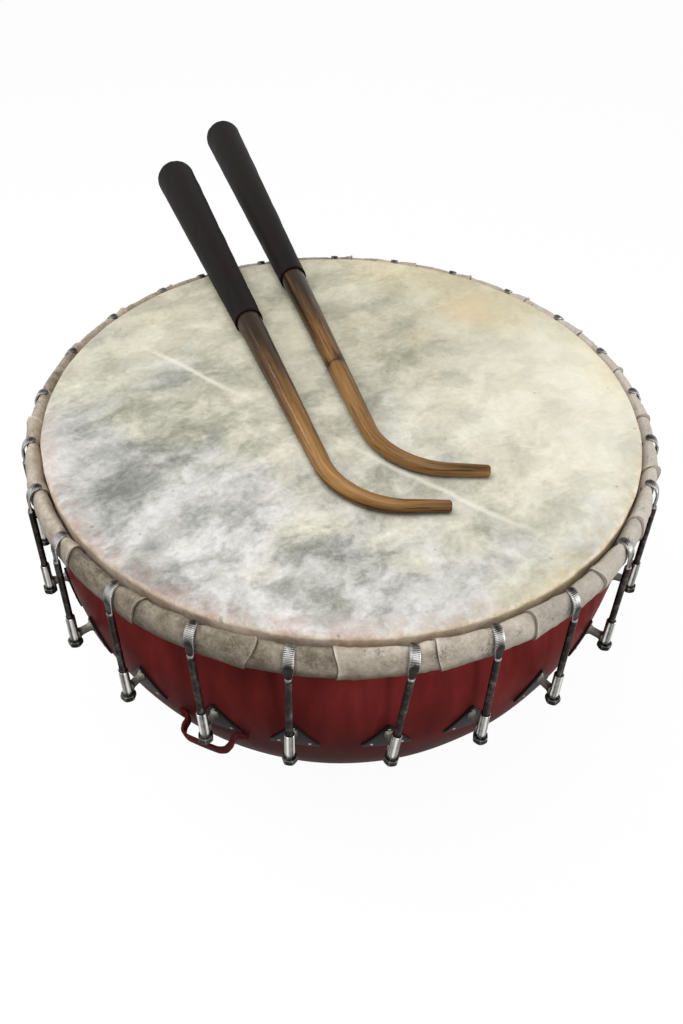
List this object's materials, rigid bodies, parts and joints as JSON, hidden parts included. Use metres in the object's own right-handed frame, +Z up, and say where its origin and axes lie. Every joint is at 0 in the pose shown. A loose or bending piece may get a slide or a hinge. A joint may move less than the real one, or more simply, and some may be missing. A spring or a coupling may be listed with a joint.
{
  "type": "kettle drum",
  "caption": "Nagara kettle drum in red painted metal, goatskin head lapped on a hoop and drawn down by hooked rods through riveted tube lugs, with two bent cane sticks on the head",
  "frame": {"origin": "centre of the flat bottom, on the floor", "axes": "+Z up along the drum's axis, -Y towards the side seen in front, +X to the viewer's right"},
  "size_m": [0.6783, 0.9784, 0.4559],
  "materials": {
    "red_paint": "glossy deep red enamel on sheet metal",
    "goatskin": "translucent mottled rawhide, cream and grey",
    "hoop_iron": "bare iron ring, hidden in the lapped skin",
    "plated_rod": "plated rod, worn bright at the hook",
    "dull_steel": "dull dark steel",
    "cane": "polished brown cane with dark streaks",
    "black_rubber": "matt black grip"
  },
  "bodies": {
    "drum": {"shell": "red_paint", "head_skin": "goatskin", "flesh_hoop": "hoop_iron", "sling_loop_1": "red_paint", "sling_loop_2": "red_paint"},
    "hook_01": {"tension_hook_01": "plated_rod"},
    "nut_01": {"tension_nut_01": "dull_steel"},
    "hook_02": {"tension_hook_02": "plated_rod"},
    "nut_02": {"tension_nut_02": "dull_steel"},
    "hook_03": {"tension_hook_03": "plated_rod"},
    "nut_03": {"tension_nut_03": "dull_steel"},
    "hook_04": {"tension_hook_04": "plated_rod"},
    "nut_04": {"tension_nut_04": "dull_steel"},
    "hook_05": {"tension_hook_05": "plated_rod"},
    "nut_05": {"tension_nut_05": "dull_steel"},
    "hook_06": {"tension_hook_06": "plated_rod"},
    "nut_06": {"tension_nut_06": "dull_steel"},
    "hook_07": {"tension_hook_07": "plated_rod"},
    "nut_07": {"tension_nut_07": "dull_steel"},
    "hook_08": {"tension_hook_08": "plated_rod"},
    "nut_08": {"tension_nut_08": "dull_steel"},
    "hook_09": {"tension_hook_09": "plated_rod"},
    "nut_09": {"tension_nut_09": "dull_steel"},
    "hook_10": {"tension_hook_10": "plated_rod"},
    "nut_10": {"tension_nut_10": "dull_steel"},
    "hook_11": {"tension_hook_11": "plated_rod"},
    "nut_11": {"tension_nut_11": "dull_steel"},
    "hook_12": {"tension_hook_12": "plated_rod"},
    "nut_12": {"tension_nut_12": "dull_steel"},
    "hook_13": {"tension_hook_13": "plated_rod"},
    "nut_13": {"tension_nut_13": "dull_steel"},
    "hook_14": {"tension_hook_14": "plated_rod"},
    "nut_14": {"tension_nut_14": "dull_steel"},
    "hook_15": {"tension_hook_15": "plated_rod"},
    "nut_15": {"tension_nut_15": "dull_steel"},
    "hook_16": {"tension_hook_16": "plated_rod"},
    "nut_16": {"tension_nut_16": "dull_steel"},
    "hook_17": {"tension_hook_17": "plated_rod"},
    "nut_17": {"tension_nut_17": "dull_steel"},
    "hook_18": {"tension_hook_18": "plated_rod"},
    "nut_18": {"tension_nut_18": "dull_steel"},
    "hook_19": {"tension_hook_19": "plated_rod"},
    "nut_19": {"tension_nut_19": "dull_steel"},
    "hook_20": {"tension_hook_20": "plated_rod"},
    "nut_20": {"tension_nut_20": "dull_steel"},
    "hook_21": {"tension_hook_21": "plated_rod"},
    "nut_21": {"tension_nut_21": "dull_steel"},
    "hook_22": {"tension_hook_22": "plated_rod"},
    "nut_22": {"tension_nut_22": "dull_steel"},
    "hook_23": {"tension_hook_23": "plated_rod"},
    "nut_23": {"tension_nut_23": "dull_steel"},
    "hook_24": {"tension_hook_24": "plated_rod"},
    "nut_24": {"tension_nut_24": "dull_steel"},
    "hook_25": {"tension_hook_25": "plated_rod"},
    "nut_25": {"tension_nut_25": "dull_steel"},
    "stick_1": {"stick_1_cane": "cane", "stick_1_grip": "black_rubber"},
    "stick_2": {"stick_2_cane": "cane", "stick_2_grip": "black_rubber"}
  },
  "joints": [
    {"name": "nut_01_turn", "type": "hinge", "parent": "drum", "child": "nut_01", "pos_m": [-0.03603, -0.33168, 0.25676], "axis": [-0.0066, -0.061, -0.9981], "range_deg": [0, 1701]},
    {"name": "hook_01_rise", "type": "slide", "parent": "drum", "child": "hook_01", "axis": [0.0066, 0.061, 0.9981], "range_m": [0, 0.006]},
    {"name": "nut_02_turn", "type": "hinge", "parent": "drum", "child": "nut_02", "pos_m": [0.0534, -0.32952, 0.25726], "axis": [-0.0769, -0.0777, -0.994], "range_deg": [0, 1701]},
    {"name": "hook_02_rise", "type": "slide", "parent": "drum", "child": "hook_02", "axis": [0.0769, 0.0777, 0.994], "range_m": [0, 0.006]},
    {"name": "nut_03_turn", "type": "hinge", "parent": "drum", "child": "nut_03", "pos_m": [0.13455, -0.3053, 0.25677], "axis": [0.0123, -0.0617, -0.998], "range_deg": [0, 1701]},
    {"name": "hook_03_rise", "type": "slide", "parent": "drum", "child": "hook_03", "axis": [-0.0123, 0.0617, 0.998], "range_m": [0, 0.006]},
    {"name": "nut_04_turn", "type": "hinge", "parent": "drum", "child": "nut_04", "pos_m": [0.20723, -0.26146, 0.25676], "axis": [0.0381, -0.0481, -0.9981], "range_deg": [0, 1701]},
    {"name": "hook_04_rise", "type": "slide", "parent": "drum", "child": "hook_04", "axis": [-0.0381, 0.0481, 0.9981], "range_m": [0, 0.006]},
    {"name": "nut_05_turn", "type": "hinge", "parent": "drum", "child": "nut_05", "pos_m": [0.26928, -0.19697, 0.25677], "axis": [0.0576, -0.0253, -0.998], "range_deg": [0, 1701]},
    {"name": "hook_05_rise", "type": "slide", "parent": "drum", "child": "hook_05", "axis": [-0.0576, 0.0253, 0.998], "range_m": [0, 0.006]},
    {"name": "nut_06_turn", "type": "hinge", "parent": "drum", "child": "nut_06", "pos_m": [0.31099, -0.1209, 0.25685], "axis": [0.0441, -0.0573, -0.9974], "range_deg": [0, 1701]},
    {"name": "hook_06_rise", "type": "slide", "parent": "drum", "child": "hook_06", "axis": [-0.0441, 0.0573, 0.9974], "range_m": [0, 0.006]},
    {"name": "nut_07_turn", "type": "hinge", "parent": "drum", "child": "nut_07", "pos_m": [0.33085, -0.04297, 0.25676], "axis": [0.0609, -0.0079, -0.9981], "range_deg": [0, 1701]},
    {"name": "hook_07_rise", "type": "slide", "parent": "drum", "child": "hook_07", "axis": [-0.0609, 0.0079, 0.9981], "range_m": [0, 0.006]},
    {"name": "nut_08_turn", "type": "hinge", "parent": "drum", "child": "nut_08", "pos_m": [0.33114, 0.04066, 0.25676], "axis": [0.0609, 0.0075, -0.9981], "range_deg": [0, 1701]},
    {"name": "hook_08_rise", "type": "slide", "parent": "drum", "child": "hook_08", "axis": [-0.0609, -0.0075, 0.9981], "range_m": [0, 0.006]},
    {"name": "nut_09_turn", "type": "hinge", "parent": "drum", "child": "nut_09", "pos_m": [0.31063, 0.12173, 0.25676], "axis": [0.0572, 0.0224, -0.9981], "range_deg": [0, 1701]},
    {"name": "hook_09_rise", "type": "slide", "parent": "drum", "child": "hook_09", "axis": [-0.0572, -0.0224, 0.9981], "range_m": [0, 0.006]},
    {"name": "nut_10_turn", "type": "hinge", "parent": "drum", "child": "nut_10", "pos_m": [0.2706, 0.19516, 0.25676], "axis": [0.0498, 0.0359, -0.9981], "range_deg": [0, 1701]},
    {"name": "hook_10_rise", "type": "slide", "parent": "drum", "child": "hook_10", "axis": [-0.0498, -0.0359, 0.9981], "range_m": [0, 0.006]},
    {"name": "nut_11_turn", "type": "hinge", "parent": "drum", "child": "nut_11", "pos_m": [0.21356, 0.25632, 0.25676], "axis": [0.0393, 0.0472, -0.9981], "range_deg": [0, 1701]},
    {"name": "hook_11_rise", "type": "slide", "parent": "drum", "child": "hook_11", "axis": [-0.0393, -0.0472, 0.9981], "range_m": [0, 0.006]},
    {"name": "nut_12_turn", "type": "hinge", "parent": "drum", "child": "nut_12", "pos_m": [0.14311, 0.30138, 0.25676], "axis": [0.0263, 0.0555, -0.9981], "range_deg": [0, 1701]},
    {"name": "hook_12_rise", "type": "slide", "parent": "drum", "child": "hook_12", "axis": [-0.0263, -0.0555, 0.9981], "range_m": [0, 0.006]},
    {"name": "nut_13_turn", "type": "hinge", "parent": "drum", "child": "nut_13", "pos_m": [0.06366, 0.3275, 0.25676], "axis": [0.0117, 0.0603, -0.9981], "range_deg": [0, 1701]},
    {"name": "hook_13_rise", "type": "slide", "parent": "drum", "child": "hook_13", "axis": [-0.0117, -0.0603, 0.9981], "range_m": [0, 0.006]},
    {"name": "nut_14_turn", "type": "hinge", "parent": "drum", "child": "nut_14", "pos_m": [-0.01979, 0.33304, 0.25676], "axis": [-0.0036, 0.0613, -0.9981], "range_deg": [0, 1701]},
    {"name": "hook_14_rise", "type": "slide", "parent": "drum", "child": "hook_14", "axis": [0.0036, -0.0613, 0.9981], "range_m": [0, 0.006]},
    {"name": "nut_15_turn", "type": "hinge", "parent": "drum", "child": "nut_15", "pos_m": [-0.12038, 0.31116, 0.25676], "axis": [-0.0221, 0.0573, -0.9981], "range_deg": [0, 1701]},
    {"name": "hook_15_rise", "type": "slide", "parent": "drum", "child": "hook_15", "axis": [0.0221, -0.0573, 0.9981], "range_m": [0, 0.006]},
    {"name": "nut_16_turn", "type": "hinge", "parent": "drum", "child": "nut_16", "pos_m": [-0.19728, 0.26905, 0.25676], "axis": [-0.0363, 0.0495, -0.9981], "range_deg": [0, 1701]},
    {"name": "hook_16_rise", "type": "slide", "parent": "drum", "child": "hook_16", "axis": [0.0363, -0.0495, 0.9981], "range_m": [0, 0.006]},
    {"name": "nut_17_turn", "type": "hinge", "parent": "drum", "child": "nut_17", "pos_m": [-0.24241, 0.22923, 0.25676], "axis": [-0.0446, 0.0422, -0.9981], "range_deg": [0, 1701]},
    {"name": "hook_17_rise", "type": "slide", "parent": "drum", "child": "hook_17", "axis": [0.0446, -0.0422, 0.9981], "range_m": [0, 0.006]},
    {"name": "nut_18_turn", "type": "hinge", "parent": "drum", "child": "nut_18", "pos_m": [-0.2918, 0.16175, 0.25676], "axis": [-0.0537, 0.0298, -0.9981], "range_deg": [0, 1701]},
    {"name": "hook_18_rise", "type": "slide", "parent": "drum", "child": "hook_18", "axis": [0.0537, -0.0298, 0.9981], "range_m": [0, 0.006]},
    {"name": "nut_19_turn", "type": "hinge", "parent": "drum", "child": "nut_19", "pos_m": [-0.32286, 0.0841, 0.25676], "axis": [-0.0594, 0.0155, -0.9981], "range_deg": [0, 1701]},
    {"name": "hook_19_rise", "type": "slide", "parent": "drum", "child": "hook_19", "axis": [0.0594, -0.0155, 0.9981], "range_m": [0, 0.006]},
    {"name": "nut_20_turn", "type": "hinge", "parent": "drum", "child": "nut_20", "pos_m": [-0.33363, 0.00117, 0.25676], "axis": [-0.0614, 0.0002, -0.9981], "range_deg": [0, 1701]},
    {"name": "hook_20_rise", "type": "slide", "parent": "drum", "child": "hook_20", "axis": [0.0614, -0.0002, 0.9981], "range_m": [0, 0.006]},
    {"name": "nut_21_turn", "type": "hinge", "parent": "drum", "child": "nut_21", "pos_m": [-0.32344, -0.08184, 0.25676], "axis": [-0.0595, -0.0151, -0.9981], "range_deg": [0, 1701]},
    {"name": "hook_21_rise", "type": "slide", "parent": "drum", "child": "hook_21", "axis": [0.0595, 0.0151, 0.9981], "range_m": [0, 0.006]},
    {"name": "nut_22_turn", "type": "hinge", "parent": "drum", "child": "nut_22", "pos_m": [-0.29839, -0.14927, 0.25678], "axis": [-0.0642, -0.0093, -0.9979], "range_deg": [0, 1701]},
    {"name": "hook_22_rise", "type": "slide", "parent": "drum", "child": "hook_22", "axis": [0.0642, 0.0093, 0.9979], "range_m": [0, 0.006]},
    {"name": "nut_23_turn", "type": "hinge", "parent": "drum", "child": "nut_23", "pos_m": [-0.2552, -0.2149, 0.25676], "axis": [-0.047, -0.0395, -0.9981], "range_deg": [0, 1701]},
    {"name": "hook_23_rise", "type": "slide", "parent": "drum", "child": "hook_23", "axis": [0.047, 0.0395, 0.9981], "range_m": [0, 0.006]},
    {"name": "nut_24_turn", "type": "hinge", "parent": "drum", "child": "nut_24", "pos_m": [-0.19073, -0.27376, 0.25682], "axis": [-0.0102, -0.0682, -0.9976], "range_deg": [0, 1701]},
    {"name": "hook_24_rise", "type": "slide", "parent": "drum", "child": "hook_24", "axis": [0.0102, 0.0682, 0.9976], "range_m": [0, 0.006]},
    {"name": "nut_25_turn", "type": "hinge", "parent": "drum", "child": "nut_25", "pos_m": [-0.11272, -0.31407, 0.25691], "axis": [0.0254, -0.0753, -0.9968], "range_deg": [0, 1701]},
    {"name": "hook_25_rise", "type": "slide", "parent": "drum", "child": "hook_25", "axis": [-0.0254, 0.0753, 0.9968], "range_m": [0, 0.006]},
    {"name": "stick_1_lift", "type": "slide", "parent": "drum", "child": "stick_1", "axis": [0, 0, 1], "range_m": [0, 0.25]},
    {"name": "stick_2_lift", "type": "slide", "parent": "drum", "child": "stick_2", "axis": [0, 0, 1], "range_m": [0, 0.25]}
  ],
  "couplings": [
    {"joint": "nut_01_turn", "follows": "hook_01_rise", "rad_per_m": 4947.4},
    {"joint": "nut_02_turn", "follows": "hook_02_rise", "rad_per_m": 4947.4},
    {"joint": "nut_03_turn", "follows": "hook_03_rise", "rad_per_m": 4947.4},
    {"joint": "nut_04_turn", "follows": "hook_04_rise", "rad_per_m": 4947.4},
    {"joint": "nut_05_turn", "follows": "hook_05_rise", "rad_per_m": 4947.4},
    {"joint": "nut_06_turn", "follows": "hook_06_rise", "rad_per_m": 4947.4},
    {"joint": "nut_07_turn", "follows": "hook_07_rise", "rad_per_m": 4947.4},
    {"joint": "nut_08_turn", "follows": "hook_08_rise", "rad_per_m": 4947.4},
    {"joint": "nut_09_turn", "follows": "hook_09_rise", "rad_per_m": 4947.4},
    {"joint": "nut_10_turn", "follows": "hook_10_rise", "rad_per_m": 4947.4},
    {"joint": "nut_11_turn", "follows": "hook_11_rise", "rad_per_m": 4947.4},
    {"joint": "nut_12_turn", "follows": "hook_12_rise", "rad_per_m": 4947.4},
    {"joint": "nut_13_turn", "follows": "hook_13_rise", "rad_per_m": 4947.4},
    {"joint": "nut_14_turn", "follows": "hook_14_rise", "rad_per_m": 4947.4},
    {"joint": "nut_15_turn", "follows": "hook_15_rise", "rad_per_m": 4947.4},
    {"joint": "nut_16_turn", "follows": "hook_16_rise", "rad_per_m": 4947.4},
    {"joint": "nut_17_turn", "follows": "hook_17_rise", "rad_per_m": 4947.4},
    {"joint": "nut_18_turn", "follows": "hook_18_rise", "rad_per_m": 4947.4},
    {"joint": "nut_19_turn", "follows": "hook_19_rise", "rad_per_m": 4947.4},
    {"joint": "nut_20_turn", "follows": "hook_20_rise", "rad_per_m": 4947.4},
    {"joint": "nut_21_turn", "follows": "hook_21_rise", "rad_per_m": 4947.4},
    {"joint": "nut_22_turn", "follows": "hook_22_rise", "rad_per_m": 4947.4},
    {"joint": "nut_23_turn", "follows": "hook_23_rise", "rad_per_m": 4947.4},
    {"joint": "nut_24_turn", "follows": "hook_24_rise", "rad_per_m": 4947.4},
    {"joint": "nut_25_turn", "follows": "hook_25_rise", "rad_per_m": 4947.4}
  ]
}
